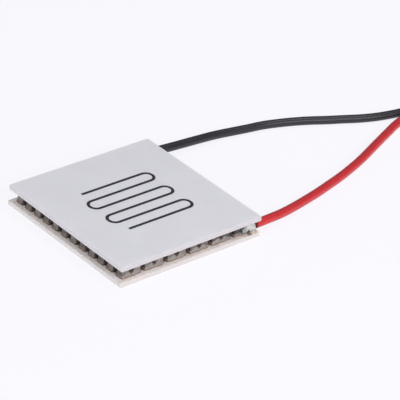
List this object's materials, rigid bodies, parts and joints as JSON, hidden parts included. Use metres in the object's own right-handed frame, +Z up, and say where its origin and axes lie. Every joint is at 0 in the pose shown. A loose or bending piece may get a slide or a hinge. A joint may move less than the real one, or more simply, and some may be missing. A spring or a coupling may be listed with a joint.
{
  "type": "thermoelectric generator module",
  "caption": "Square thermoelectric module: semiconductor legs between two ceramic plates, wired in series by copper strips, with a red and a black lead on one edge.",
  "frame": {"origin": "middle of the bottom plate's underside", "axes": "+Z up through the plates, from the bottom plate to the top plate; +X towards the edge that the leads leave"},
  "size_m": [0.1005, 0.0389, 0.0038],
  "materials": {
    "bottom_ceramic": "matte fired alumina",
    "top_ceramic": "matte fired alumina",
    "copper_strip": "solder-coated copper",
    "p_leg": "sawn, dull",
    "n_leg": "sawn, dull",
    "solder": "bright solder",
    "tinned_wire": "tinned strands",
    "red_insulation": "satin",
    "black_insulation": "satin",
    "coiled_leads": "satin",
    "tie": "satin"
  },
  "bodies": {
    "root": {"bottom_plate": "bottom_ceramic", "top_plate": "top_ceramic", "bottom_strips_row_01": "copper_strip", "bottom_strips_row_02": "copper_strip", "bottom_strips_row_03": "copper_strip", "bottom_strips_row_04": "copper_strip", "bottom_strips_row_05": "copper_strip", "bottom_strips_row_06": "copper_strip", "bottom_strips_row_07": "copper_strip", "bottom_strips_row_08": "copper_strip", "bottom_strips_row_09": "copper_strip", "bottom_strips_row_10": "copper_strip", "bottom_strips_row_11": "copper_strip", "bottom_strips_row_12": "copper_strip", "top_strips_row_01": "copper_strip", "top_strips_row_02": "copper_strip", "top_strips_row_03": "copper_strip", "top_strips_row_04": "copper_strip", "top_strips_row_05": "copper_strip", "top_strips_row_06": "copper_strip", "top_strips_row_07": "copper_strip", "top_strips_row_08": "copper_strip", "top_strips_row_09": "copper_strip", "top_strips_row_10": "copper_strip", "top_strips_row_11": "copper_strip", "top_strips_row_12": "copper_strip", "p_legs_row_01": "p_leg", "p_legs_row_02": "p_leg", "p_legs_row_03": "p_leg", "p_legs_row_04": "p_leg", "p_legs_row_05": "p_leg", "p_legs_row_06": "p_leg", "p_legs_row_07": "p_leg", "p_legs_row_08": "p_leg", "p_legs_row_09": "p_leg", "p_legs_row_10": "p_leg", "p_legs_row_11": "p_leg", "p_legs_row_12": "p_leg", "n_legs_row_01": "n_leg", "n_legs_row_02": "n_leg", "n_legs_row_03": "n_leg", "n_legs_row_04": "n_leg", "n_legs_row_05": "n_leg", "n_legs_row_06": "n_leg", "n_legs_row_07": "n_leg", "n_legs_row_08": "n_leg", "n_legs_row_09": "n_leg", "n_legs_row_10": "n_leg", "n_legs_row_11": "n_leg", "n_legs_row_12": "n_leg", "red_solder_joint": "solder", "black_solder_joint": "solder", "red_conductor": "tinned_wire", "black_conductor": "tinned_wire", "red_lead": "red_insulation", "black_lead": "black_insulation", "lead_coil": "coiled_leads", "coil_tie": "tie", "red_tinned_end": "tinned_wire", "black_tinned_end": "tinned_wire"}
  },
  "joints": []
}
